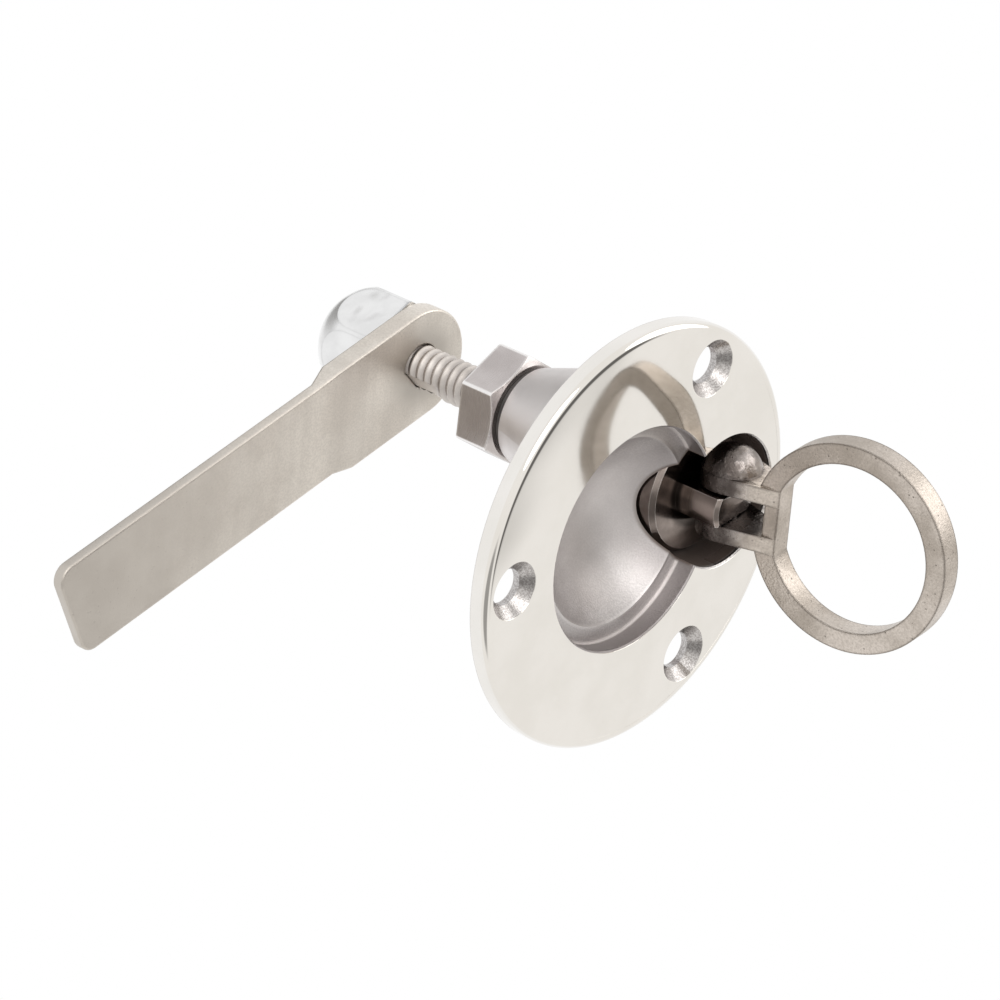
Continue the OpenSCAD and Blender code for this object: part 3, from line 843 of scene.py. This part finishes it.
# %% [markdown]
# ## The front of the spindle
# Head, tongue and shank come from the solid, because only the rod needs a thread. On the real
# latch the end of the tongue is filed to a slight slant. A plane cuts that slant before the
# edges are rounded, and a last plane cuts the plain rod away inside the nut, where the joint
# with the thread can't be seen.

# %% Filed and softened spindle
FILED_AT = Vector((axis_x + 3.0 * MM, 1.4 * MM, tongue_top_z - 0.02 * MM))
FILED_WAY = Vector((-0.16, 0.34, 0.93)).normalized()
SPINDLE_ROUND_MM = 0.25
bm = merged_copy("spindle")
trim(bm, FILED_AT, FILED_WAY)
soften(bm, SPINDLE_ROUND_MM)
trim(bm, Vector((axis_x, 0, joint_z)), Vector((0, 0, -1)))
make_piece(bm, "spindle_front", spindle_material, "spindle", "spindle", smooth_deg=30)

# %% [markdown]
# ## Dress the solids
# The other solids already have the right shape. They could be copied as well, but a copy that
# changes nothing is one more thing to keep in step. So they stay and only get a finish.

# %% Give each solid its finish
dressing = {
    "flange_body": flange_material, "dome_nut": dome_material, "hinge_pin": pin_material,
    "seal_ring": rubber_material, "thrust_washer": rubber_material, "head_washer": bearing_material,
}
for node, material in dressing.items():
    nodes[node].data.materials.clear()
    nodes[node].data.materials.append(material)
print("dressed:", len(dressing))

# %% [markdown]
# ## Floor and grey card
# The latch was photographed on white under large soft lights. A pale floor lies well below it,
# because the latch is held by its flange. To the camera and in mirrors the floor is pure white,
# and from below it is clear, so that it hides nothing. Polished steel shows its surroundings
# more than its own colour, and a soft grey card on the floor gives the dome nut its shade. The
# card could be a darker floor, but then the picture's background would be grey as well.

# %% Lay a flat sheet
def flat_stage(name, at, size):
    mesh = bpy.data.meshes.new(name)
    bm = bmesh.new()
    laid = Matrix.Translation(at) @ Matrix.Diagonal((size / 2, size / 2, 1, 1))
    bmesh.ops.create_grid(bm, x_segments=1, y_segments=1, size=1.0, matrix=laid)
    bm.to_mesh(mesh)
    bm.free()
    sheet = bpy.data.objects.new(name, mesh)
    bpy.context.scene.collection.objects.link(sheet)
    return sheet


def matt_paper(sheet, grey):
    """Gives a sheet a matt grey and returns the tree, the shader's result and the output."""
    material, tree, _ = finish(sheet.name, (grey, grey, grey), 0.0, 0.9)
    sheet.data.materials.append(material)
    return tree, tree.nodes["Principled BSDF"].outputs[0], tree.nodes["Material Output"].inputs["Surface"]


def mix_shader(tree, factor, a, b):
    return add(tree, "ShaderNodeMixShader", {0: factor, 1: a, 2: b}).outputs[0]


# %% Floor
FLOOR_BELOW = 0.25
FLOOR_SIZE = 12.0
floor_z = solid_low.z - FLOOR_BELOW
floor = flat_stage("floor", (0, 0, floor_z), FLOOR_SIZE)
tree, paper, surface = matt_paper(floor, 0.85)
glow = add(tree, "ShaderNodeEmission", {"Color": (1, 1, 1, 1), "Strength": 1.0}).outputs[0]
seen = add(tree, "ShaderNodeLightPath").outputs
mirrored = math_node(tree, "MAXIMUM", seen["Is Glossy Ray"], seen["Is Transmission Ray"])
direct = math_node(tree, "MAXIMUM", seen["Is Camera Ray"], mirrored)
from_below = add(tree, "ShaderNodeNewGeometry").outputs["Backfacing"]
clear = add(tree, "ShaderNodeBsdfTransparent").outputs[0]
feed(tree, surface, mix_shader(tree, from_below, mix_shader(tree, direct, paper, glow), clear))
print("floor at", round(floor_z / MM, 1), "mm")

# %% Grey card
CARD_AT = Vector((-0.1, -0.1, floor_z + 0.01))
CARD_SIZE = 0.5
CARD_FULL_R = 0.05
CARD_CLEAR_R = 0.22
card = flat_stage("grey_card", CARD_AT, CARD_SIZE)
tree, paper, surface = matt_paper(card, 0.4)
from_middle = vector_value(tree, "DISTANCE", surface_point(tree), CARD_AT)
clear = add(tree, "ShaderNodeBsdfTransparent").outputs[0]
cover = ramp(tree, from_middle, CARD_CLEAR_R, CARD_FULL_R)
feed(tree, surface, mix_shader(tree, cover, clear, paper))
card.visible_camera = False
card.visible_diffuse = False
card.visible_shadow = False
print("card at", [round(c, 2) for c in CARD_AT])

# %% [markdown]
# ## Room and lamps
# A studio room is pale all round. Two darker patches of its ceiling give the polished metal
# something dark to show, such as the thin line along the rim. Black cards over the latch could
# do the same, but would throw shadows, so the patches are part of the world. Two large soft
# lamps light the latch from the front and the side, at a plain level.

# %% World
DARK_PATCHES = ((Vector((-0.42, 0.05, 0.9)), 1.0), (Vector((0.55, 0.45, 0.7)), 0.72))
PATCH_EDGE = 0.89
PATCH_FULL = 0.955
world = bpy.data.worlds.new("studio")
bpy.context.scene.world = world
world.use_nodes = True
tree = world.node_tree
room = tree.nodes["Background"].inputs
way = add(tree, "ShaderNodeTexCoord").outputs["Generated"]
dark = 0.0
for at, depth in DARK_PATCHES:
    toward = vector_value(tree, "DOT_PRODUCT", way, at.normalized())
    dark = math_node(tree, "MAXIMUM", dark, ramp(tree, toward, PATCH_EDGE, PATCH_FULL, 0.0, depth))
feed(tree, room["Color"], mix_color(tree, dark, (1.0, 0.985, 0.96), (0.16, 0.155, 0.15)))
room["Strength"].default_value = 0.95
print("world:", world.name, "with", len(DARK_PATCHES), "dark patches")

# %% Lamps
LAMP_SIZE = 0.8


def softbox(name, at, power):
    """A round soft lamp that faces the latch."""
    lamp = bpy.data.lights.new(name, "AREA")
    lamp.shape = "DISK"
    lamp.size = LAMP_SIZE
    lamp.energy = power
    lamp.color = (1.0, 0.985, 0.97)
    holder = bpy.data.objects.new(name, lamp)
    bpy.context.scene.collection.objects.link(holder)
    holder.location = at
    holder.rotation_mode = "QUATERNION"
    holder.rotation_quaternion = at.to_track_quat("Z", "Y")


softbox("key_light", Vector((0.35, -0.75, 0.65)), 3.0)
softbox("side_light", Vector((-0.8, -0.5, 0.5)), 1.8)

# %% [markdown]
# ## Camera
# The camera stands where the photograph was taken from, with a long lens that keeps the circles
# nearly undistorted. It could be aimed by eye, but its place was found by measuring the circles,
# the nut and the arm. So its directions to the right, down and forward in the picture are given.

# %% Camera
CAMERA_AT = Vector((601.2, -368.4, 478.4)) * MM
RIGHT = Vector((-0.6691, -0.0766, 0.7392))
DOWN = Vector((0.2724, 0.9002, 0.3399))
FORWARD = Vector((-0.6914, 0.4287, -0.5814))
camera_data = bpy.data.cameras.new("camera")
camera_data.sensor_width = 36.0
camera_data.lens = 185.84
camera_data.clip_start = 0.05
camera_data.clip_end = 50.0
camera = bpy.data.objects.new("camera", camera_data)
bpy.context.scene.collection.objects.link(camera)
turned_to = Matrix((RIGHT, -DOWN, -FORWARD)).transposed().to_4x4()
camera.matrix_world = Matrix.Translation(CAMERA_AT) @ turned_to
bpy.context.scene.camera = camera
bpy.context.scene.view_settings.view_transform = "Standard"
print("camera lens", camera_data.lens)
